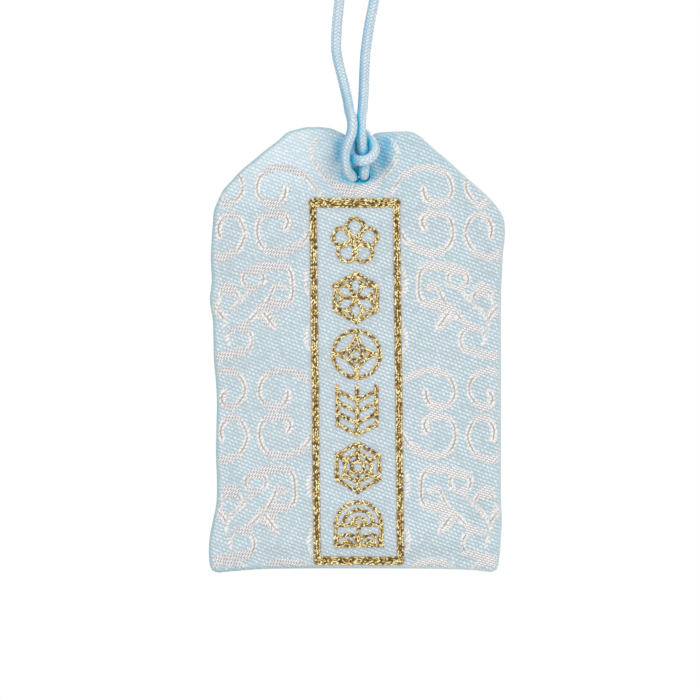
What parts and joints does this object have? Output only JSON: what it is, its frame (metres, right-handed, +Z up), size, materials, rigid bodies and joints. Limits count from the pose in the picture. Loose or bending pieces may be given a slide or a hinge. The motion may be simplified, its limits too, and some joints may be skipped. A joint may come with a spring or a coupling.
{
  "type": "omamori charm",
  "caption": "Flat brocade pouch with folded top corners, a gold woven border and motifs, a wrapped tablet inside, and a hitched cord that ends in a knot.",
  "frame": {"origin": "the point that the cord's loop hangs from, between the two cord runs and just under the end knot", "axes": "+Z up along the hanging cord, the front of the pouch faces -Y, +X to the viewer's right"},
  "size_m": [0.051, 0.0118, 0.1566],
  "materials": {
    "brocade": "light blue satin brocade with a fine diagonal twill and a raised pinkish-white scroll figure",
    "gold_weft": "gold lame yarn, uneven glitter",
    "cord": "round braided polyester cord, soft sheen",
    "seam_thread": "fine polyester thread",
    "interfacing": "matt white fleece interfacing",
    "card": "plain greyboard",
    "washi": "matt handmade paper",
    "tablet_wood": "planed bare cypress"
  },
  "bodies": {
    "cord_loop": {"end_knot": "cord", "cord_run_left": "cord", "cord_run_right": "cord", "cord_neck_left": "cord", "cord_neck_right": "cord"},
    "charm": {"brocade_pouch": "brocade", "cord_hitch": "cord", "interfacing": "interfacing", "stiffener_card": "card", "inner_tablet": "tablet_wood", "paper_wrapper": "washi", "gold_border": "gold_weft", "gold_motif_1": "gold_weft", "gold_motif_2": "gold_weft", "gold_motif_3": "gold_weft", "gold_motif_4": "gold_weft", "gold_motif_5": "gold_weft", "gold_motif_6": "gold_weft", "seam_thread_left": "seam_thread", "seam_thread_right": "seam_thread"}
  },
  "joints": [
    {"name": "charm_swing", "type": "hinge", "parent": "cord_loop", "child": "charm", "pos_m": [0, 0, -0.05552], "axis": [1, 0, 0], "range_deg": [-90, 90], "deforming": ["cord_neck_left", "cord_neck_right"]}
  ]
}
